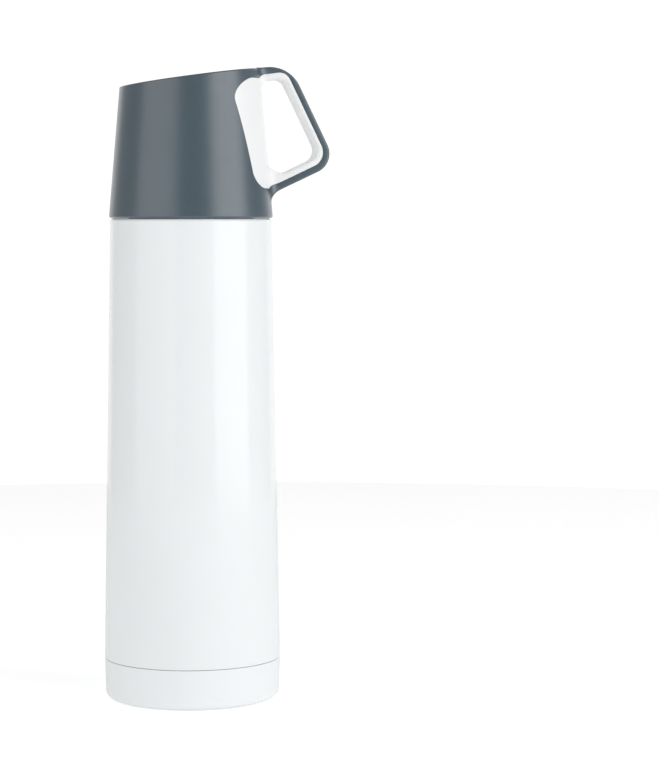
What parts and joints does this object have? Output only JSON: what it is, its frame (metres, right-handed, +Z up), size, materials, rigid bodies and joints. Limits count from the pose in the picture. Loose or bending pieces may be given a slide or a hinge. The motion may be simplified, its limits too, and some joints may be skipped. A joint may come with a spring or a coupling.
{
  "type": "vacuum flask",
  "caption": "Slim double-walled vacuum flask with a screw-on drinking cup that has a slanted top and a looped handle, over a threaded push-to-pour stopper.",
  "frame": {"origin": "centre of the pad the flask stands on, at table level", "axes": "+Z up along the flask's axis, +X out along the cup's handle"},
  "size_m": [0.0899, 0.0704, 0.2515],
  "materials": {
    "coated_steel": "gloss white coat",
    "white_cap": "gloss white coat",
    "bare_steel": "satin",
    "getter_metal": "matt",
    "seal_bead": "matt",
    "foil": "bright foil",
    "grey_plastic": "satin",
    "white_plastic": "satin",
    "silicone": "matt",
    "dark_rubber": "matt",
    "foam": "matt foam",
    "spring_steel": "bright"
  },
  "bodies": {
    "flask": {"outer_shell": "coated_steel", "inner_vessel": "bare_steel", "shell_floor": "bare_steel", "vacuum_plug": "seal_bead", "getter": "getter_metal", "heat_foil": "foil", "base_cap": "white_cap", "base_pad": "dark_rubber"},
    "cup_ring": {"cup_gasket": "silicone"},
    "cup": {"cup_shell": "grey_plastic", "cup_liner": "white_plastic", "handle_inlay": "white_plastic"},
    "stopper_ring": {"stopper_gasket": "silicone"},
    "stopper": {"stopper_body": "grey_plastic", "stopper_foam": "foam", "grip_ring": "grey_plastic", "spring_washer": "spring_steel", "button_spring": "spring_steel"},
    "button": {"pour_button": "white_plastic", "button_ring": "dark_rubber", "valve_stem": "bare_steel", "valve_plate": "grey_plastic", "valve_seal": "silicone", "valve_clip": "spring_steel"}
  },
  "joints": [
    {"name": "cup_lift", "type": "slide", "parent": "flask", "child": "cup_ring", "axis": [0, 0, 1], "range_m": [0, 0.04]},
    {"name": "cup_turn", "type": "hinge", "parent": "cup_ring", "child": "cup", "pos_m": [0, 0, 0.2], "axis": [0, 0, 1], "range_deg": [0, 1205]},
    {"name": "stopper_lift", "type": "slide", "parent": "flask", "child": "stopper_ring", "axis": [0, 0, 1], "range_m": [0, 0.012]},
    {"name": "stopper_turn", "type": "hinge", "parent": "stopper_ring", "child": "stopper", "pos_m": [0, 0, 0.2], "axis": [0, 0, 1], "range_deg": [0, 545]},
    {"name": "pour_press", "type": "slide", "parent": "stopper", "child": "button", "axis": [0, 0, -1], "range_m": [0, 0.0025], "stiffness_N_per_m": 600, "springref_m": -0.004, "deforming": ["button_spring"]}
  ],
  "couplings": [
    {"joint": "cup_turn", "follows": "cup_lift", "rad_per_m": 523.6},
    {"joint": "stopper_turn", "follows": "stopper_lift", "rad_per_m": 785.4}
  ]
}
